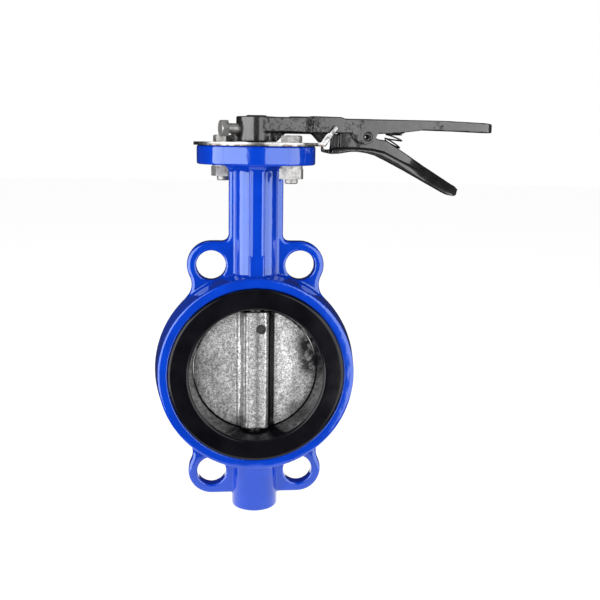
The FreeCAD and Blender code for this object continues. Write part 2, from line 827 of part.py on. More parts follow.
def cylinder(label, radius, height, base):
    """An upright cylinder at a point given by three formulas."""
    made = doc.addObject("Part::Cylinder", label)
    bind(made, Radius=radius, Height=height)
    place_at(made, base)
    return made


def cone(label, foot_radius, head_radius, height, base):
    made = doc.addObject("Part::Cone", label)
    bind(made, Radius1=foot_radius, Radius2=head_radius, Height=height)
    place_at(made, base)
    return made


def place_at(thing, base):
    for axis, formula in zip("xyz", base):
        thing.setExpression(f"Placement.Base.{axis}", bound(formula))


def fused(label, members):
    made = doc.addObject("Part::MultiFuse", label)
    made.Label = label
    made.Shapes = members
    return made


def bolt_places():
    """The two flange bolts: front right and back left, with their heads' turns."""
    return (("front", "flange_bolt_offset", "-flange_bolt_offset", 8.0),
            ("rear", "-flange_bolt_offset", "flange_bolt_offset", -14.0))


def make_plate_bolts():
    """The two hex bolts that hold the notch plate, heads up."""
    bolts = []
    top = "flange_top + plate_thickness"
    for name, x, y, turned in bolt_places():
        head = hexagon(f"{name}_bolt_head", "bolt_head_flats", "bolt_head_height",
                       (x, y, top), turned)
        crown = cone(f"{name}_head_crown", "bolt_head_flats", "bolt_head_flats - bolt_head_crown_fall",
                     "bolt_head_height + 0.6", (x, y, top))
        trimmed = doc.addObject("Part::Common", f"{name}_chamfered_head")
        trimmed.Base = head
        trimmed.Tool = crown
        shank = cylinder(f"{name}_bolt_shank", "bolt_radius", f"{top} - bolt_end - bolt_end_chamfer",
                         (x, y, "bolt_end + bolt_end_chamfer"))
        end = cone(f"{name}_bolt_end", "bolt_radius - bolt_end_chamfer", "bolt_radius",
                   "bolt_end_chamfer", (x, y, "bolt_end"))
        bolts.append(fused(f"{name}_bolt", [trimmed, shank, end]))
    return group("plate_bolts", bolts)


def make_plate_nuts():
    """The two nuts under the flange."""
    nuts = []
    underside = "flange_top - flange_thickness - spring_washer_thickness - nut_height"
    for name, x, y, turned in bolt_places():
        block = hexagon(f"{name}_nut_block", "nut_flats", "nut_height",
                        (x, y, underside), turned + 6)
        thread = cylinder(f"{name}_nut_thread", "bolt_radius + shaft_clearance", "nut_height",
                          (x, y, underside))
        nuts.append(cut_by(f"{name}_nut", block, thread))
    return group("plate_nuts", nuts)


def make_spring_washers():
    """Split washers between the nuts and the flange."""
    washers = []
    low = "flange_top - flange_thickness - spring_washer_thickness"
    for name, x, y, turned in bolt_places():
        disc = cylinder(f"{name}_washer_disc", "spring_washer_radius",
                        "spring_washer_thickness", (x, y, low))
        hole = cylinder(f"{name}_washer_hole", "bolt_radius + 0.2",
                        "spring_washer_thickness", (x, y, low))
        washers.append(cut_by(f"{name}_washer", disc, hole))
    return group("plate_spring_washers", washers)


def make_handle():
    """The cast lever: hub, arch over the bolt heads, pivot lobes and hollow grip."""
    body = new_body("handle_lever")
    pad_up(body, "handle_hub", "hub_bottom", "hub_top - hub_bottom",
           lambda s: add_circle(s, "hub_radius"))
    width = "handle_half_width + handle_half_width"
    pad_across(body, "handle_arm", width, lambda s: add_outline(s, ARM_OUTLINE))
    round_handle_tip(body)
    pad_up(body, "arm_root", "arm_root_bottom", "arm_root_top - arm_root_bottom",
           lambda s: add_outline(s, [("2", "-arm_root_half_width"),
                                     ("arm_root_length", "-handle_half_width"),
                                     ("arm_root_length", "handle_half_width"),
                                     ("2", "arm_root_half_width")]))
    pad_across(body, "handle_rib", "rib_half_width + rib_half_width",
               lambda s: add_outline(s, ARCH_RIB_OUTLINE))
    pad_across(body, "pivot_lobes", width,
               lambda s: add_circle(s, "pivot_lobe_radius", ("pivot_lobe_x", "pivot_lobe_z")))
    cut_across(body, "lobe_top", width, lambda s: add_outline(s, [
        ("pivot_lobe_start", "pivot_lobe_top"),
        ("pivot_lobe_x + pivot_lobe_radius", "pivot_lobe_top"),
        ("pivot_lobe_x + pivot_lobe_radius", "pivot_lobe_top + 3"),
        ("pivot_lobe_start", "pivot_lobe_top + 3")]))
    pad_across(body, "spring_boss", "handle_inner_half_width + handle_inner_half_width",
               lambda s: add_outline(s, [
                   ("spring_boss_start", "spring_boss_bottom"),
                   ("spring_boss_end", "spring_boss_bottom"),
                   ("spring_boss_end", "spring_boss_bottom + 4"),
                   ("spring_boss_start", "spring_boss_bottom + 4")]))
    inner = "handle_inner_half_width + handle_inner_half_width"
    below = "hub_bottom - 8"
    cut_across(body, "trigger_slot", inner, lambda s: add_outline(s, [
        ("trigger_slot_start", below), ("spring_boss_start - 1", below),
        ("spring_boss_start - 1", "handle_ceiling"), ("trigger_slot_start", "handle_ceiling")]))
    cut_across(body, "grip_hollow", inner, lambda s: add_outline(s, [
        ("grip_hollow_start", below), ("grip_hollow_end", below),
        ("grip_hollow_end", "grip_ceiling"), ("grip_hollow_start", "grip_ceiling")]))
    cut_across(body, "pivot_hole", width, lambda s: add_circle(
        s, "pivot_pin_radius + shaft_clearance", ("pivot_x", "pivot_z")))
    cut_down(body, "stem_socket", "hub_top + 1", "hub_top - hub_bottom + 2", stem_socket)
    cut_set_bolt_hole(body)
    return body


def round_handle_tip(body):
    """Rounds the arm's free end in plan."""
    half = size("handle_half_width")

    def tip_corner(edge):
        box = edge.BoundBox
        upright = box.YLength < 0.1 and near(box.XMax, size("handle_length"))
        return upright and near(abs(box.Center.y), half) and near(box.XMin, box.XMax)

    round_edges(body, "tip_fillet", "handle_tip_rounding", tip_corner)


def stem_socket(sketch):
    """The hub's hole: a circle with two flats, a running fit on the stem's end."""
    radius = size("stem_radius + shaft_clearance")
    flat = size("stem_flat_half_width + shaft_clearance")
    reach = math.sqrt(radius ** 2 - flat ** 2)
    right = Part.Arc(Vector(reach, -flat, 0), Vector(radius, 0, 0), Vector(reach, flat, 0))
    left = Part.Arc(Vector(-reach, flat, 0), Vector(-radius, 0, 0), Vector(-reach, -flat, 0))
    sketch.addGeometry(right, False)
    sketch.addGeometry(Part.LineSegment(Vector(reach, flat, 0), Vector(-reach, flat, 0)), False)
    sketch.addGeometry(left, False)
    sketch.addGeometry(Part.LineSegment(Vector(-reach, -flat, 0), Vector(reach, -flat, 0)), False)


def cut_set_bolt_hole(body):
    """The tapped hole through the hub's side, opposite the arm."""
    before = solid_volume(body)
    turned = Placement(Vector(), Rotation(Vector(0, 1, 0), size("set_bolt_turn")))
    sketch = new_sketch(body, "set_bolt_hole_sketch", "YZ_Plane", turned)
    add_circle(sketch, "set_bolt_radius + shaft_clearance", ("0", "set_bolt_z"))
    hole = feature(body, "Pocket", "set_bolt_hole", sketch)
    bind(hole, Length="hub_radius + 1")
    check_cut(body, "set_bolt_hole", before)


def make_set_bolt():
    """The hex bolt that clamps the handle to the stem."""
    head = hexagon("set_bolt_head", "set_bolt_head_flats", "set_bolt_head_height",
                   ("-set_bolt_head_start", "0", "set_bolt_z"))
    lie_along_x(head, 30)
    crown = cone("set_bolt_crown", "set_bolt_head_flats", "set_bolt_head_flats - set_bolt_crown_fall",
                 "set_bolt_head_height + 0.4", ("-set_bolt_head_start", "0", "set_bolt_z"))
    lie_along_x(crown, 0)
    trimmed = doc.addObject("Part::Common", "set_bolt_chamfered_head")
    trimmed.Base = head
    trimmed.Tool = crown
    shank = cylinder("set_bolt_shank", "set_bolt_radius",
                     "set_bolt_head_start - stem_radius - 0.1",
                     ("-stem_radius - 0.1", "0", "set_bolt_z"))
    lie_along_x(shank, 0)
    bolt = fused("handle_set_bolt", [trimmed, shank])
    bolt.Placement = Placement(Vector(), Rotation(Vector(0, 0, 1), size("set_bolt_turn")))
    return bolt


def lie_along_x(thing, spin):
    """Turns an upright primitive to run towards -X, spun about its own axis."""
    upright_spin = Rotation(Vector(0, 0, 1), spin)
    thing.Placement = Placement(thing.Placement.Base,
                                Rotation(Vector(0, 1, 0), -90).multiply(upright_spin))


def make_trigger():
    """The squeeze latch: a web between the handle's walls on a wide lower plate."""
    body = new_body("trigger_lever")
    for name, half_width, outline in (
            ("trigger_web", "trigger_web_half_width", TRIGGER_WEB_OUTLINE),
            ("trigger_plate", "trigger_plate_half_width", TRIGGER_PLATE_OUTLINE),
            ("trigger_tooth", "tooth_half_width", TOOTH_OUTLINE),
            ("trigger_nose", "nose_half_width", NOSE_OUTLINE)):
        pad_across(body, name, f"{half_width} + {half_width}",
                   lambda s, o=outline: add_outline(s, o))
    cut_across(body, "trigger_pivot_hole", "trigger_plate_half_width + 10",
               lambda s: add_circle(s, "pivot_pin_radius + shaft_clearance",
                                    ("pivot_x", "pivot_z")))
    return body


def make_pivot_pin():
    """The rolled spring pin that the trigger swings on."""
    body = new_body("trigger_pivot_pin")

    def rolled(sketch):
        add_circle(sketch, "pivot_pin_radius", ("pivot_x", "pivot_z"))
        add_circle(sketch, "pivot_pin_bore", ("pivot_x", "pivot_z"))

    pad_across(body, "rolled_wall", "handle_half_width + handle_half_width - 1", rolled)
    cut_across(body, "rolled_slit", "handle_half_width + handle_half_width",
               lambda s: add_outline(s, [("pivot_x", "pivot_z - 0.4"),
                                         ("pivot_x + 4", "pivot_z - 0.4"),
                                         ("pivot_x + 4", "pivot_z + 0.4"),
                                         ("pivot_x", "pivot_z + 0.4")]))
    return body


def make_trigger_spring():
    """An open coil of round wire, fanned out between the handle and the sloping web."""
    turns = [Vector(x, 0, z) for x, z in SPRING_TURN_ENDS]
    wire = size("spring_wire_radius")
    solids = []
    for number, (start, stop) in enumerate(zip(turns, turns[1:])):
        middle = (start + stop) * 0.5
        across = stop - start
        axis = Vector(-across.z, 0, across.x)
        circle = Part.makeCircle(wire, start, Vector(0, 1, 0))
        face = Part.Face(Part.Wire([circle]))
        solids.append(face.revolve(middle, axis, 180 if number % 2 else -180))
    coil = solids[0].multiFuse(solids[1:]).removeSplitter()
    made = doc.addObject("Part::Feature", "trigger_spring")
    made.Label = "trigger_spring"
    made.Shape = coil
    return made


def write_parts(made):
    """Checks every object and sub-part, then writes one file for each sub-part."""
    doc.recompute()
    for thing in doc.Objects:
        if "Invalid" in thing.State or "Error" in thing.State:
            raise RuntimeError(f"{thing.Label} failed: {thing.State}")
    os.makedirs("parts", exist_ok=True)
    for thing in made:
        if thing.Shape.isNull() or not thing.Shape.isValid():
            raise RuntimeError(f"{thing.Label} has no valid shape")
        thing.Shape.exportStep(f"parts/{thing.Label}.step")
        print(f"{thing.Label}: {len(thing.Shape.Solids)} solid, {thing.Shape.Volume:.0f} mm3")


def main():
    stem_bore = "stem_radius + shaft_clearance"
    write_parts([
        make_valve_body(),
        make_seat_liner(),
        make_disc(),
        taper_pin("disc_taper_pin", 0),
        make_stem(),
        make_upper_bush(),
        tube("lower_neck_bush", "lower_bush_bottom", "bush_length", stem_bore, "bush_radius"),
        make_foot_bush(),
        make_o_rings(),
        tube("thrust_washer", "upper_bush_top", "thrust_washer_thickness", stem_bore,
             "ring_chamber_radius - 0.2"),
        make_circlip(),
        make_notch_plate(),
        make_plate_bolts(),
        make_spring_washers(),
        make_plate_nuts(),
        make_handle(),
        make_set_bolt(),
        make_trigger(),
        make_pivot_pin(),
        make_trigger_spring(),
    ])


main()
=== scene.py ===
"""Looks for a wafer butterfly valve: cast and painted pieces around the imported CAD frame, in a light tent.

Metres, in the CAD frame: X runs along the handle of the closed valve, Y along the pipe, Z up the stem.
"""

import json
import math

import bmesh
import bpy
import numpy as np
from mathutils import Matrix, Vector, noise

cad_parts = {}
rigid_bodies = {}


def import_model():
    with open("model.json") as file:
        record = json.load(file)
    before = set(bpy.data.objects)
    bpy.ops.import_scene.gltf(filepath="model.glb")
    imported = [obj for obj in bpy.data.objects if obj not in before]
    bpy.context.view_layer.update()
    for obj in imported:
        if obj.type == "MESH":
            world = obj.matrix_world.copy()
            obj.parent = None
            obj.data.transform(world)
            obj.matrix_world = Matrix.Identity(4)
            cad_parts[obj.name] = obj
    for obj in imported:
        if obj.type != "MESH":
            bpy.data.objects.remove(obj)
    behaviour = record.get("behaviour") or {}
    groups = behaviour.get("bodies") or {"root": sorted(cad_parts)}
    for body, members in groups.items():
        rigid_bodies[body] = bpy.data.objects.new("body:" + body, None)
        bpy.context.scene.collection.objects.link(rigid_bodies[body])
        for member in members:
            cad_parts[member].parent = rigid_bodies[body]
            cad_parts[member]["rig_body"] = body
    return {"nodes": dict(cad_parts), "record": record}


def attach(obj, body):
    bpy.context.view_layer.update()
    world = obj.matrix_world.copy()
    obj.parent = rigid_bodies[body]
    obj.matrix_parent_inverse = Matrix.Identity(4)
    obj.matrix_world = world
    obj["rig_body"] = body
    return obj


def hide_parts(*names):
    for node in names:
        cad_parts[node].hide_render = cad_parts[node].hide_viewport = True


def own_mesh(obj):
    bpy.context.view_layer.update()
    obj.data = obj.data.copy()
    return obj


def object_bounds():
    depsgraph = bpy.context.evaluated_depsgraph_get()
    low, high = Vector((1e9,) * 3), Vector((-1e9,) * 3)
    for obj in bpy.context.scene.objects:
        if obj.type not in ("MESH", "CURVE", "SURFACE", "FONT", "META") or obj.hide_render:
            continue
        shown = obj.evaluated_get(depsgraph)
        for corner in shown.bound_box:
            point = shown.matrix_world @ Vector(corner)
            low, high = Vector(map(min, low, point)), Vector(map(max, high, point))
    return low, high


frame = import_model()
cad_box = [list(corner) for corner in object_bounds()]

MM = 0.001


# ---------------------------------------------------------------- materials


class Finish:
    """One procedural material around a Principled shader, in the piece's own coordinates."""

    def __init__(self, name, colour, roughness, metallic=0.0, coat=0.0, coat_roughness=0.05, specular=0.5):
        self.material = bpy.data.materials.new(name)
        self.material.use_nodes = True
        self.tree = self.material.node_tree
        self.shader = self.tree.nodes["Principled BSDF"]
        self.place = self.tree.nodes.new("ShaderNodeTexCoord").outputs["Object"]
        self.normal = None
        self.set("Base Color", (*colour, 1.0))
        self.set("Roughness", roughness)
        self.set("Metallic", metallic)
        self.set("Coat Weight", coat)
        self.set("Coat Roughness", coat_roughness)
        self.set("Specular IOR Level", specular)

    def set(self, socket, value):
        self.shader.inputs[socket].default_value = value

    def drive(self, socket, output):
        self.tree.links.new(output, self.shader.inputs[socket])

    def stretched(self, scale):
        """The piece's coordinates, scaled unevenly, for streaks."""
        mapping = self.tree.nodes.new("ShaderNodeMapping")
        mapping.inputs["Scale"].default_value = scale
        self.tree.links.new(self.place, mapping.inputs["Vector"])
        return mapping.outputs["Vector"]

    def grain(self, size, detail=3.0, roughness=0.55, place=None):
        """Noise whose lumps are about size across."""
        texture = self.tree.nodes.new("ShaderNodeTexNoise")
        texture.inputs["Scale"].default_value = 0.5 / size
        texture.inputs["Detail"].default_value = detail
        texture.inputs["Roughness"].default_value = roughness
        self.tree.links.new(place or self.place, texture.inputs["Vector"])
        return texture.outputs["Fac"]

    def cells(self, size, output="Distance"):
        """Cells about size across: their distance or their random colour."""
        texture = self.tree.nodes.new("ShaderNodeTexVoronoi")
        texture.inputs["Scale"].default_value = 1.0 / size
        self.tree.links.new(self.place, texture.inputs["Vector"])
        return texture.outputs[output]

    def ramp(self, factor, *stops):
        """Maps a factor to greys or colours at the given places."""
        node = self.tree.nodes.new("ShaderNodeValToRGB")
        points = node.color_ramp.elements
        while len(points) < len(stops):
            points.new(0.5)
        for point, (position, colour) in zip(points, stops):
            point.position = position
            point.color = (*colour, 1.0) if isinstance(colour, tuple) else (colour, colour, colour, 1.0)
        self.tree.links.new(factor, node.inputs["Fac"])
        return node.outputs["Color"]

    def mix(self, factor, first, second, kind="MIX"):
        """Mixes two colours or outputs by a factor, which is a number or an output."""
        node = self.tree.nodes.new("ShaderNodeMix")
        node.data_type = "RGBA"
        node.blend_type = kind
        colours = [socket for socket in node.inputs if socket.type == "RGBA"]
        for socket, value in zip([node.inputs["Factor"], *colours], (factor, first, second)):
            if isinstance(value, bpy.types.NodeSocket):
                self.tree.links.new(value, socket)
            elif isinstance(value, tuple):
                socket.default_value = (*value, 1.0)
            else:
                socket.default_value = value
        return next(socket for socket in node.outputs if socket.type == "RGBA")

    def bump(self, height, depth, strength=1.0):
        """Adds relief of the given depth, on top of any relief added before."""
        node = self.tree.nodes.new("ShaderNodeBump")
        node.inputs["Strength"].default_value = strength
        node.inputs["Distance"].default_value = depth
        self.tree.links.new(height, node.inputs["Height"])
        if self.normal is not None:
            self.tree.links.new(self.normal, node.inputs["Normal"])
        self.normal = node.outputs["Normal"]
        self.drive("Normal", self.normal)
        self.drive("Coat Normal", self.normal)

    def coordinate(self, axis):
        """The piece's own coordinate along an axis, in metres."""
        split = self.tree.nodes.new("ShaderNodeSeparateXYZ")
        self.tree.links.new(self.place, split.inputs["Vector"])
        return split.outputs[axis]

    def calculate(self, operation, *values):
        """The result of a math operation on outputs and numbers."""
        node = self.tree.nodes.new("ShaderNodeMath")
        node.operation = operation
        for socket, value in zip(node.inputs, values):
            if isinstance(value, bpy.types.NodeSocket):
                self.tree.links.new(value, socket)
            else:
                socket.default_value = value
        return node.outputs["Value"]

    def mirrored_x(self):
        """X on the piece's front and -X on its back, so that a half turn leaves it alike."""
        facing = self.calculate("MULTIPLY", self.calculate("SIGN", self.coordinate("Y")), -1.0)
        return self.calculate("MULTIPLY", self.coordinate("X"), facing)

    def mirrored_face(self):
        """Coordinates across a disc's face that are alike on its front and back."""
        merged = self.tree.nodes.new("ShaderNodeCombineXYZ")
        self.tree.links.new(self.mirrored_x(), merged.inputs["X"])
        self.tree.links.new(self.coordinate("Z"), merged.inputs["Z"])
        return merged.outputs["Vector"]

    def spot(self, centre, radius, place=None):
        """A soft round patch, 1 in the middle and 0 outside."""
        offset = self.tree.nodes.new("ShaderNodeVectorMath")
        offset.operation = "DISTANCE"
        offset.inputs[1].default_value = centre
        self.tree.links.new(place or self.place, offset.inputs[0])
        return self.between(offset.outputs["Value"], radius, 0.0)

    def between(self, value, low, high):
        """Maps low..high to 0..1."""
        node = self.tree.nodes.new("ShaderNodeMapRange")
        node.inputs["From Min"].default_value = low
        node.inputs["From Max"].default_value = high
        self.tree.links.new(value, node.inputs["Value"])
        return node.outputs["Result"]


def blue_epoxy():
    paint = Finish("blue_epoxy", (0.0005, 0.038, 0.42), 0.14, coat=1.0, coat_roughness=0.05, specular=0.5)
    paint.set("Specular Tint", (0.35, 0.75, 1.0, 1.0))
    tone = paint.ramp(paint.grain(9 * MM, detail=4),
                      (0.3, (0.0003, 0.030, 0.37)), (0.7, (0.0007, 0.041, 0.46)))
    paint.drive("Base Color", tone)
    paint.bump(paint.grain(9 * MM, detail=2), 0.3 * MM, 0.3)
    paint.bump(paint.grain(3.5 * MM, detail=3), 0.12 * MM, 0.35)
    paint.bump(paint.grain(1.6 * MM, detail=2), 0.06 * MM, 0.5)
    return paint.material


def seat_rubber():
    rubber = Finish("seat_rubber", (0.004, 0.004, 0.005), 0.12, specular=0.25)
    rubber.drive("Base Color", rubber.ramp(rubber.grain(14 * MM), (0.35, (0.002, 0.002, 0.003)),
                                           (0.7, (0.006, 0.0055, 0.008))))
    rubber.drive("Roughness", rubber.ramp(rubber.grain(6 * MM, detail=5), (0.3, 0.08), (0.7, 0.16)))
    rubber.bump(rubber.grain(9 * MM, detail=2), 0.12 * MM, 0.25)
    rubber.bump(rubber.grain(0.5 * MM, detail=2), 0.01 * MM, 0.3)
    return rubber.material


def seal_rubber():
    rubber = Finish("seal_rubber", (0.015, 0.015, 0.015), 0.45)
    rubber.drive("Roughness", rubber.ramp(rubber.grain(1 * MM), (0.3, 0.38), (0.7, 0.55)))
    rubber.bump(rubber.grain(0.4 * MM), 0.02 * MM, 0.3)
    return rubber.material


# Bands across the disc beside its hub: X in mm, and how light the disc is there. The darkest, at the hub's
# grooves, are painted shade; the rest are lighter and darker tone.
DISC_GROOVE_SHADE_BANDS = ((-18, 0.80), (-15.6, 0.72), (-14.3, 0.30), (-12.9, 0.85), (-11, 1.0), (-9.4, 0.8),
              (-8, 0.12), (-6.8, 0.7), (-4, 1.0), (-1.6, 0.85), (1.2, 0.40), (4.0, 0.8), (7.5, 1.0),
              (9.6, 0.8), (10.5, 0.02), (14.6, 0.02), (17.2, 1.0), (25, 1.0), (31, 0.78))

# Dark patches on each face of the disc: X, Z and radius in mm on its front, and how dark.
SOOT_PATCHES = ((44, 19, 17, 1.0), (43, 5, 14, 0.95), (-40, 2, 16, 0.3), (31, -33, 9, 0.5),
                (-12, -42, 8, 0.6))


def disc_casting():
    metal = Finish("disc_casting", (0.45, 0.45, 0.46), 0.5, metallic=0.75)
    speckle = metal.ramp(metal.cells(0.8 * MM, output="Color"), (0.28, 0.42), (0.50, 0.74), (0.70, 1.0))
    fine = metal.ramp(metal.grain(1.4 * MM, detail=3), (0.35, 0.62), (0.60, 1.0))
    clouds = metal.ramp(metal.grain(10 * MM, detail=4), (0.35, 0.80), (0.62, 1.0))
    # Painted shade in the hub's grooves, among lighter and darker bands of tone across the hub.
    low, high = DISC_GROOVE_SHADE_BANDS[0][0], DISC_GROOVE_SHADE_BANDS[-1][0]
    across = metal.between(metal.mirrored_x(), low * MM, high * MM)
    groove_shade_bands = metal.ramp(across, *(((place - low) / (high - low), tone) for place, tone in DISC_GROOVE_SHADE_BANDS))
    tone = metal.mix(1.0, speckle, fine, kind="MULTIPLY")
    tone = metal.mix(1.0, tone, clouds, kind="MULTIPLY")
    tone = metal.mix(1.0, tone, groove_shade_bands, kind="MULTIPLY")
    ragged = metal.ramp(metal.grain(3 * MM, detail=5), (0.38, 0.45), (0.52, 1.0))
    face = metal.mirrored_face()
    for x, z, radius, depth in SOOT_PATCHES:
        patch = metal.spot((x * MM, 0, z * MM), radius * MM, place=face)
        patch = metal.ramp(patch, (0.0, 0.0), (0.6, depth))
        soot = metal.mix(1.0, patch, ragged, kind="MULTIPLY")
        tone = metal.mix(soot, tone, (0.014, 0.014, 0.016))
    metal.drive("Base Color", tone)
    metal.drive("Roughness", metal.ramp(metal.grain(0.9 * MM), (0.3, 0.30), (0.7, 0.55)))
    metal.bump(metal.cells(0.9 * MM), 0.10 * MM, 0.5)
    return metal.material


def stem_steel():
    steel = Finish("stem_steel", (0.55, 0.55, 0.55), 0.3, metallic=1.0)
    rings = steel.grain(3 * MM, detail=4, place=steel.stretched((0.15, 0.15, 8.0)))
    steel.drive("Roughness", steel.ramp(rings, (0.3, 0.22), (0.7, 0.42)))
    steel.drive("Base Color", steel.ramp(rings, (0.3, 0.02), (0.7, 0.06)))
    steel.bump(rings, 0.02 * MM, 0.4)
    return steel.material


def pin_steel():
    steel = Finish("pin_steel", (0.18, 0.18, 0.185), 0.42, metallic=0.9)
    steel.drive("Base Color", steel.ramp(steel.grain(1.5 * MM), (0.3, 0.02), (0.7, 0.09)))
    steel.bump(steel.grain(0.6 * MM), 0.03 * MM, 0.5)
    return steel.material


def bush_polymer():
    plastic = Finish("bush_polymer", (0.75, 0.74, 0.70), 0.5)
    plastic.drive("Roughness", plastic.ramp(plastic.grain(2 * MM), (0.3, 0.45), (0.7, 0.6)))
    plastic.bump(plastic.grain(0.5 * MM), 0.02 * MM, 0.3)
    return plastic.material


# The notch plate's dark lower edge fades out between these heights, and painted shade on its raised stops, a
# darker grey mottle, fades in.
PLATE_EDGE_BOTTOM = 174.4 * MM
PLATE_EDGE_TOP = 176.6 * MM
STOP_SHADE_FULL = 179 * MM


def zinc_plate():
    zinc = Finish("zinc_plate", (0.80, 0.80, 0.79), 0.3, metallic=1.0)
    spangle = zinc.cells(5 * MM, output="Color")
    stain = zinc.ramp(zinc.grain(7 * MM, detail=6, roughness=0.7), (0.52, 0.0), (0.72, 1.0))
    bright = zinc.ramp(spangle, (0.2, (0.34, 0.34, 0.345)), (0.8, (0.52, 0.52, 0.52)))
    tone = zinc.mix(stain, bright, (0.17, 0.13, 0.10))
    edge = zinc.between(zinc.coordinate("Z"), PLATE_EDGE_BOTTOM, PLATE_EDGE_TOP)
    edge = zinc.ramp(edge, (0.2, 0.95), (0.9, 0.0))
    ragged = zinc.ramp(zinc.grain(3 * MM, detail=5), (0.42, 0.25), (0.55, 1.0))
    edge = zinc.mix(1.0, edge, ragged, kind="MULTIPLY")
    tone = zinc.mix(edge, tone, (0.07, 0.045, 0.035))
    # Painted shade: the raised stops turn a darker mottled grey than the flat plate.
    raised = zinc.between(zinc.coordinate("Z"), PLATE_EDGE_TOP, STOP_SHADE_FULL)
    raised = zinc.ramp(raised, (0.0, 0.0), (1.0, 1.0))
    shaded_mottle = zinc.ramp(zinc.grain(1.6 * MM, detail=4), (0.38, 0.05), (0.62, 0.34))
    zinc.drive("Base Color", zinc.mix(raised, tone, shaded_mottle))
    zinc.drive("Roughness", zinc.ramp(zinc.grain(2 * MM, detail=5), (0.3, 0.18), (0.7, 0.42)))
    zinc.bump(zinc.grain(6 * MM, detail=2), 0.12 * MM, 0.4)
    zinc.bump(zinc.grain(0.8 * MM, detail=3), 0.03 * MM, 0.4)
    return zinc.material


def zinc_hardware():
    zinc = Finish("zinc_hardware", (0.40, 0.395, 0.38), 0.35, metallic=0.8)
    grime = zinc.ramp(zinc.grain(2.5 * MM, detail=6, roughness=0.7), (0.45, 0.0), (0.75, 1.0))
    zinc.drive("Base Color", zinc.mix(grime, (0.40, 0.395, 0.385), (0.09, 0.088, 0.085)))
    zinc.drive("Roughness", zinc.ramp(zinc.grain(1 * MM, detail=4), (0.3, 0.40), (0.7, 0.60)))
    zinc.bump(zinc.grain(1.2 * MM, detail=3), 0.05 * MM, 0.4)
    return zinc.material


# Where the lever's enamel is pitted: X, Z and size in mm of each patch on its side faces.
PIT_PATCHES = ((16, 187, 9), (28, 188, 10), (39, 190, 9), (50, 187, 5), (69, 189, 5), (77, 192, 4),
               (137, 191, 5))


def black_enamel():
    enamel = Finish("black_enamel", (0.012, 0.012, 0.013), 0.3, coat=0.85, coat_roughness=0.06)
    holes = enamel.ramp(enamel.grain(1.3 * MM, detail=3, roughness=0.6), (0.53, 0.0), (0.62, 1.0))
    flat_place = enamel.stretched((1.0, 0.0, 1.0))
    patches = None
    for x, z, radius in PIT_PATCHES:
        patch = enamel.spot((x * MM, 0, z * MM), radius * MM, place=flat_place)
        patches = patch if patches is None else enamel.mix(1.0, patches, patch, kind="LIGHTEN")
    pitted = enamel.mix(1.0, enamel.ramp(patches, (0.05, 0.0), (0.5, 1.0)), holes, kind="MULTIPLY")
    enamel.drive("Base Color", enamel.ramp(enamel.grain(4 * MM, detail=5), (0.3, 0.006), (0.75, 0.016)))
    enamel.drive("Roughness", enamel.ramp(enamel.grain(3 * MM), (0.3, 0.22), (0.7, 0.36)))
    enamel.bump(enamel.ramp(pitted, (0.0, 1.0), (1.0, 0.0)), 0.4 * MM, 0.7)
    enamel.bump(enamel.grain(1.1 * MM, detail=3), 0.02 * MM, 0.4)
    enamel.bump(enamel.grain(6 * MM, detail=2), 0.12 * MM, 0.2)
    return enamel.material


def spring_wire():
    wire = Finish("spring_wire", (0.03, 0.03, 0.03), 0.35, metallic=0.6)
    wire.drive("Base Color", wire.ramp(wire.grain(2 * MM), (0.3, 0.015), (0.7, 0.05)))
    wire.bump(wire.grain(0.5 * MM), 0.02 * MM, 0.3)
    return wire.material


FINISHES = {make.__name__: make() for make in (
    blue_epoxy, seat_rubber, seal_rubber, disc_casting, stem_steel, pin_steel, bush_polymer, zinc_plate,
    zinc_hardware, black_enamel, spring_wire)}


def dress_frame():
    """Gives every CAD node the finish of its material slot."""
    for part in frame["record"]["subparts"]:
        node = frame["nodes"][part["node"]]
        for place in node.material_slots:
            place.material = FINISHES[part["material_slot"]]


# ---------------------------------------------------------------- meshes


def apply_modifiers(piece):
    """Applies a piece's modifiers and drops them."""
    graph = bpy.context.evaluated_depsgraph_get()
    graph.update()
    mesh = bpy.data.meshes.new_from_object(piece.evaluated_get(graph), depsgraph=graph)
    piece.modifiers.clear()
    piece.data = mesh


def shade_smooth(piece):
    piece.data.polygons.foreach_set("use_smooth", [True] * len(piece.data.polygons))


def show(piece, node, slot):
    """Finishes a piece that stands for a CAD node."""
    piece.data.materials.clear()
    piece.data.materials.append(FINISHES[slot])
    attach(piece, frame["nodes"][node]["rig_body"])
    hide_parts(node)


def welded_copy(node, name):
    """A separate copy of a CAD node's mesh, with its split edges joined."""
    piece = bpy.data.objects.new(name, frame["nodes"][node].data.copy())
    bpy.context.scene.collection.objects.link(piece)
    shape = bmesh.new()
    shape.from_mesh(piece.data)
    bmesh.ops.remove_doubles(shape, verts=shape.verts, dist=0.002 * MM)
    shape.to_mesh(piece.data)
    shape.free()
    return piece


def cast_copy(node, name, voxel, softening):
    """A CAD node's shape as a casting: evenly meshed, with every edge worn round."""
    piece = welded_copy(node, name)
    remesh = piece.modifiers.new("even_mesh", "REMESH")
    remesh.mode = "VOXEL"
    remesh.voxel_size = voxel
    soften = piece.modifiers.new("worn_edges", "SMOOTH")
    soften.factor = 0.5
    soften.iterations = softening
    apply_modifiers(piece)
    shade_smooth(piece)
    return piece


def move_along_normals(piece, height):
    """Moves each point along its normal by height(place, normal), in metres."""
    mesh = piece.data
    count = len(mesh.vertices)
    places = np.empty(count * 3, np.float32)
    mesh.vertices.foreach_get("co", places)
    places = places.reshape(-1, 3)
    normals = np.empty(count * 3, np.float32)
    mesh.vertex_normals.foreach_get("vector", normals)
    normals = normals.reshape(-1, 3)
    shifts = np.array([height(Vector(p), Vector(n)) for p, n in zip(places.tolist(), normals.tolist())])
    mesh.vertices.foreach_set("co", (places + normals * shifts[:, None]).astype(np.float32).ravel())
    mesh.update()


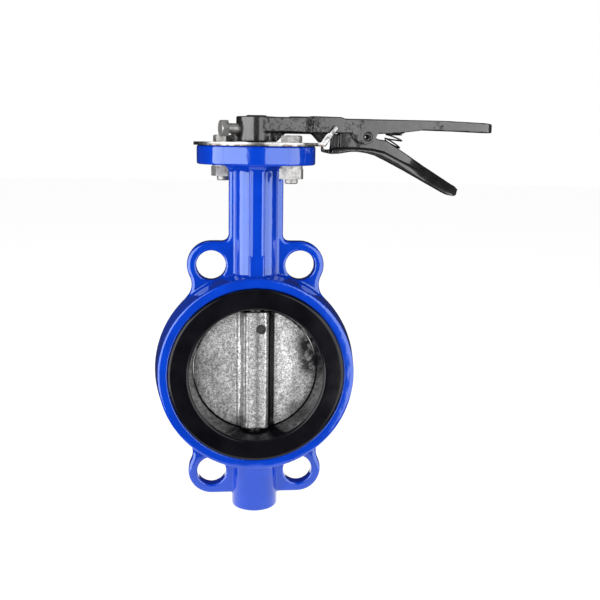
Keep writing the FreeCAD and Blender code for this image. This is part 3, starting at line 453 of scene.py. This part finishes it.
def lumps(place, size, octaves=3):
    """Smooth lumps about size across, from about -1 to 1."""
    return noise.fractal(place / size, 0.8, 2.0, octaves, noise_basis="PERLIN_ORIGINAL")


PIT_SCATTER = 7.3  # sets which cells have a pit
PIT_RADIUS = 0.32  # as a share of a cell


def pits(place, size, share):
    """Round pits, 0 on the surface and 1 at the bottom, in that share of cells about size across."""
    distances, centres = noise.voronoi(place / size)
    if noise.noise(centres[0] * PIT_SCATTER) < 1 - 2 * share:
        return 0.0
    return max(0.0, 1.0 - distances[0] / PIT_RADIUS) ** 0.5


def bell(distance, width):
    return math.exp(-((distance / width) ** 2))


# Each edge of the neck's flat rib has a raised bead, with a shallow valley outside it.
RIB_EDGE = 4.9 * MM
BEAD_HEIGHT = 0.5 * MM
BEAD_WIDTH = 0.8 * MM
VALLEY = RIB_EDGE + 1.6 * MM
VALLEY_DEPTH = 0.4 * MM
VALLEY_WIDTH = 0.7 * MM
NECK_FOOT = 92 * MM
NECK_HEAD = 156 * MM
NECK_FRONT = 12 * MM


def make_body():
    body = cast_copy("valve_body", "body_casting", voxel=0.7 * MM, softening=7)

    def relief(place, normal):
        wave = 0.05 * MM * lumps(place, 9 * MM, 2)
        if NECK_FOOT < place.z < NECK_HEAD and abs(place.y) > NECK_FRONT:
            wave += BEAD_HEIGHT * bell(abs(place.x) - RIB_EDGE, BEAD_WIDTH)
            wave -= VALLEY_DEPTH * bell(abs(place.x) - VALLEY, VALLEY_WIDTH)
        return wave

    move_along_normals(body, relief)
    show(body, "valve_body", "blue_epoxy")


def make_liner():
    liner = cast_copy("seat_liner", "liner_moulding", voxel=0.7 * MM, softening=6)
    move_along_normals(liner, lambda place, normal: 0.04 * MM * lumps(place, 16 * MM, 1))
    show(liner, "seat_liner", "seat_rubber")


# The arm's sides swell a little between the hub's pad and the pivot: where along X, in mm, above which Z,
# in mm, and how much.
ARM_STEP = 37
ARM_STEP_LENGTH = 5
ARM_TAPER_END = 76
ARM_UNDERSIDE = 184
ARM_SWELL = 1.3 * MM
PIT_DEPTH = 0.35 * MM


def pit_cover(x, z):
    """How thickly the handle's side is pitted at X and Z, in mm."""
    return min(1.0, sum(math.exp(-(((x - middle_x) / size) ** 2 + ((z - middle_z) / size) ** 2))
                        for middle_x, middle_z, size in PIT_PATCHES))


def make_handle():
    handle = cast_copy("handle_lever", "handle_casting", voxel=0.5 * MM, softening=14)

    def relief(place, normal):
        x, z = place.x / MM, place.z / MM
        wave = 0.03 * MM * lumps(place, 5 * MM, 2)
        if ARM_STEP < x < ARM_TAPER_END and z > ARM_UNDERSIDE:
            rise = min(1.0, (x - ARM_STEP) / ARM_STEP_LENGTH)
            taper = (ARM_TAPER_END - x) / (ARM_TAPER_END - ARM_STEP)
            wave += ARM_SWELL * rise * taper * abs(normal.y)
        return wave - PIT_DEPTH * pit_cover(x, z) * pits(place, 2.0 * MM, 0.15) * abs(normal.y)

    move_along_normals(handle, relief)
    show(handle, "handle_lever", "black_enamel")


# The trigger's grip, from where its web starts to swell into a rounded bar to its tip.
GRIP_START = 108 * MM
GRIP_FULL = 132 * MM
GRIP_ROUNDING_START = 142 * MM
GRIP_TIP = 159 * MM
CREST = (98.6 * MM, 179.8 * MM, -0.614)  # X, Z and slope
SOLE = (100.5 * MM, 164.4 * MM, -0.525)
WEB_SIDE = 7.4 * MM
CREST_HALF_WIDTH = 2.4 * MM
SOLE_SWELL = 8.4 * MM
SWELL_POWER = 1.35
THINNEST_TIP = 0.02
GRIP_DENTS = 0.1 * MM
WEB_DENTS = 0.05 * MM


def height_on(line, x):
    return line[1] + line[2] * (x - line[0])


def rounded_grip(place):
    """Moves a point of the trigger's stepped grip onto a rounded section, widest near its sole."""
    if place.x <= GRIP_START:
        return place
    share = min(1.0, (place.x - GRIP_START) / (GRIP_FULL - GRIP_START))
    share = share * share * (3 - 2 * share)
    sole, crest = height_on(SOLE, place.x), height_on(CREST, place.x)
    level = min(1.0, max(0.0, (place.z - sole) / (crest - sole)))
    width = CREST_HALF_WIDTH + SOLE_SWELL * (1 - level ** SWELL_POWER)
    if place.x > GRIP_ROUNDING_START:
        along = (place.x - GRIP_ROUNDING_START) / (GRIP_TIP - GRIP_ROUNDING_START)
        width *= math.sqrt(max(THINNEST_TIP, 1 - along ** 2))
    inward = min(1.0, abs(place.y) / WEB_SIDE)
    target = math.copysign(width * inward, place.y)
    return Vector((place.x, place.y + share * (target - place.y), place.z))


def make_trigger():
    trigger = cast_copy("trigger_lever", "trigger_casting", voxel=0.5 * MM, softening=10)
    for vertex in trigger.data.vertices:
        vertex.co = rounded_grip(vertex.co)
    soften = trigger.modifiers.new("blend_grip", "SMOOTH")
    soften.factor = 0.5
    soften.iterations = 8
    apply_modifiers(trigger)
    shade_smooth(trigger)

    def relief(place, normal):
        dents = GRIP_DENTS if place.x > GRIP_START else WEB_DENTS
        return dents * lumps(place, 8 * MM, 2)

    move_along_normals(trigger, relief)
    show(trigger, "trigger_lever", "black_enamel")


# Grooves along the disc's hub: X, half width and depth. The disc is alike after a half turn.
DISC_GROOVES = ((12.8 * MM, 2.2 * MM, 1.6 * MM), (-8.0 * MM, 1.0 * MM, 0.8 * MM),
                (-14.3 * MM, 1.1 * MM, 0.35 * MM))
GROOVES_END = 46 * MM  # their distance from the disc's middle
GROOVES_FADE = 3 * MM


def make_disc():
    disc = cast_copy("disc", "disc_casting_piece", voxel=0.5 * MM, softening=4)

    def relief(place, normal):
        along = -place.x * math.copysign(1, place.y)
        cut = sum(depth * bell(along - middle, width) for middle, width, depth in DISC_GROOVES)
        rim = max(0.0, min(1.0, (GROOVES_END - math.hypot(place.x, place.z)) / GROOVES_FADE))
        rough = 0.04 * MM * lumps(place, 2.2 * MM, 2) + 0.08 * MM * lumps(place, 9 * MM)
        return abs(normal.y) * (rough - cut * rim)

    move_along_normals(disc, relief)
    show(disc, "disc", "disc_casting")


SPRING_WIRE_RADIUS = 0.6 * MM
# X and Z, in mm, where each half turn of the coil ends, from the handle down.
SPRING_TURNS = ((112.0, 184.2), (100.2, 184.2), (112.2, 179.6), (99.4, 181.3), (110.6, 174.2),
                (99.6, 180.0))
STEPS_PER_HALF_TURN = 24


def make_spring():
    """The open coil between the handle and the trigger's web: half circles, each in its own tilted plane."""
    curve = bpy.data.curves.new("trigger_coil", "CURVE")
    curve.dimensions = "3D"
    curve.bevel_depth = SPRING_WIRE_RADIUS
    curve.bevel_resolution = 5
    curve.use_fill_caps = True
    places = []
    for number, (start, stop) in enumerate(zip(SPRING_TURNS, SPRING_TURNS[1:])):
        side = -1 if number % 2 else 1
        start = Vector((start[0], 0, start[1])) * MM
        stop = Vector((stop[0], 0, stop[1])) * MM
        middle = (start + stop) / 2
        reach = (start - stop) / 2
        for step in range(STEPS_PER_HALF_TURN):
            angle = math.pi * step / STEPS_PER_HALF_TURN
            across = Vector((0, side * reach.length * math.sin(angle), 0))
            places.append(middle + reach * math.cos(angle) + across)
    places.append(stop)
    line = curve.splines.new("POLY")
    line.points.add(len(places) - 1)
    for point, place in zip(line.points, places):
        point.co = (*place, 1.0)
    coil = bpy.data.objects.new("trigger_coil", curve)
    bpy.context.scene.collection.objects.link(coil)
    graph = bpy.context.evaluated_depsgraph_get()
    mesh = bpy.data.meshes.new_from_object(coil.evaluated_get(graph), depsgraph=graph)
    bpy.data.objects.remove(coil)
    piece = bpy.data.objects.new("trigger_coil", mesh)
    bpy.context.scene.collection.objects.link(piece)
    shade_smooth(piece)
    show(piece, "trigger_spring", "spring_wire")
    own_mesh(piece)


# ---------------------------------------------------------------- studio

CAMERA_PLACE = Vector((-36.51, -693.94, 178.72)) * MM
CAMERA_YAW = math.radians(5.90)  # from the pipe's axis towards the handle
CAMERA_PITCH = math.radians(10.06)  # downwards
CAMERA_ROLL = math.radians(0.84)
CAMERA_LENS = 53.93  # on a 36 mm sensor


def make_camera():
    forward = Vector((math.sin(CAMERA_YAW) * math.cos(CAMERA_PITCH),
                      math.cos(CAMERA_YAW) * math.cos(CAMERA_PITCH), -math.sin(CAMERA_PITCH)))
    right = Vector((math.cos(CAMERA_YAW), -math.sin(CAMERA_YAW), 0))
    up = right.cross(forward)
    right, up = (math.cos(CAMERA_ROLL) * right + math.sin(CAMERA_ROLL) * up,
                 math.cos(CAMERA_ROLL) * up - math.sin(CAMERA_ROLL) * right)
    camera = bpy.data.objects.new("camera", bpy.data.cameras.new("camera"))
    camera.data.lens = CAMERA_LENS
    camera.data.sensor_width = 36
    turn = Matrix((right, up, -forward)).transposed()
    camera.matrix_world = Matrix.Translation(CAMERA_PLACE) @ turn.to_4x4()
    bpy.context.scene.collection.objects.link(camera)
    bpy.context.scene.camera = camera


def make_panel(name, bearing, distance, height, width, tall, glow, tilt=0.0):
    """A soft light panel. Its bearing is in degrees from straight in front, towards the handle."""
    light = bpy.data.lights.new(name, "AREA")
    light.shape = "RECTANGLE"
    light.size = width
    light.size_y = tall
    light.energy = glow * width * tall * math.pi
    panel = bpy.data.objects.new(name, light)
    angle = math.radians(bearing)
    place = Vector((distance * math.sin(angle), -distance * math.cos(angle), height))
    aim = Vector((0, 0, height - distance * math.tan(math.radians(tilt)))) - place
    panel.location = place
    panel.rotation_euler = aim.to_track_quat("-Z", "Y").to_euler()
    panel.visible_camera = False
    bpy.context.scene.collection.objects.link(panel)


def make_world():
    """A white surround for the camera, and a dimmer tent for everything that the valve reflects."""
    world = bpy.data.worlds.new("tent")
    world.use_nodes = True
    tree = world.node_tree
    tree.nodes.clear()
    out = tree.nodes.new("ShaderNodeOutputWorld")
    seen = tree.nodes.new("ShaderNodeBackground")
    seen.inputs["Color"].default_value = (1.0, 1.0, 1.0, 1.0)
    dim = tree.nodes.new("ShaderNodeBackground")
    dim.inputs["Color"].default_value = (1.0, 1.0, 1.0, 1.0)
    dim.inputs["Strength"].default_value = 0.025
    path = tree.nodes.new("ShaderNodeLightPath")
    mix = tree.nodes.new("ShaderNodeMixShader")
    tree.links.new(path.outputs["Is Camera Ray"], mix.inputs["Fac"])
    tree.links.new(dim.outputs["Background"], mix.inputs[1])
    tree.links.new(seen.outputs["Background"], mix.inputs[2])
    tree.links.new(mix.outputs["Shader"], out.inputs["Surface"])
    bpy.context.scene.world = world


NEAR_FLOOR_REACH = 0.13
FAR_FLOOR_REACH = 6.0
FLOOR_SEGMENTS = 96


def floor_ring(shape, radius, height):
    """The points of a level circle."""
    turns = [2 * math.pi * number / FLOOR_SEGMENTS for number in range(FLOOR_SEGMENTS)]
    return [shape.verts.new((radius * math.cos(turn), radius * math.sin(turn), height)) for turn in turns]


def make_floor():
    """White paper. Only the part near the valve shows in its gloss, as on a table with a dark room beyond."""
    lowest = min(corner[2] for corner in cad_box)
    paper = Finish("paper", (0.30, 0.30, 0.30), 0.9, specular=0.0)
    paper.set("Emission Color", (1.0, 1.0, 1.0, 1.0))
    paper.set("Emission Strength", 0.97)
    paper.drive("Roughness", paper.ramp(paper.grain(0.4), (0.3, 0.85), (0.7, 0.95)))
    for name, radii in (("near_floor", (NEAR_FLOOR_REACH,)),
                        ("far_floor", (NEAR_FLOOR_REACH, FAR_FLOOR_REACH))):
        mesh = bpy.data.meshes.new(name)
        shape = bmesh.new()
        rings = [floor_ring(shape, radius, lowest) for radius in radii]
        if len(rings) == 1:
            shape.faces.new(rings[0])
        else:
            inner, outer = rings
            for k in range(FLOOR_SEGMENTS):
                shape.faces.new((inner[k], outer[k], outer[k - 1], inner[k - 1]))
        bmesh.ops.recalc_face_normals(shape, faces=shape.faces)
        shape.to_mesh(mesh)
        shape.free()
        mesh.materials.append(paper.material)
        floor = bpy.data.objects.new(name, mesh)
        floor.visible_glossy = name == "near_floor"
        bpy.context.scene.collection.objects.link(floor)


# The upright panels: bearing, width and glow. The gap between left and right is behind the camera.
PANELS = (("left_front_panel", -42, 1.00, 4.4), ("left_side_panel", -80, 0.50, 4.4),
          ("right_front_panel", 37, 1.00, 3.1), ("right_side_panel", 75, 0.50, 3.1))


def make_studio():
    bpy.context.scene.view_settings.view_transform = "Standard"
    make_camera()
    make_world()
    make_floor()
    for name, bearing, width, glow in PANELS:
        make_panel(name, bearing, distance=1.1, height=0.10, width=width, tall=1.2, glow=glow)
    make_panel("top_panel", 0, distance=0.01, height=1.3, width=1.0, tall=1.0, glow=0.6, tilt=89.9)


dress_frame()
make_body()
make_liner()
make_handle()
make_trigger()
make_disc()
make_spring()
make_studio()
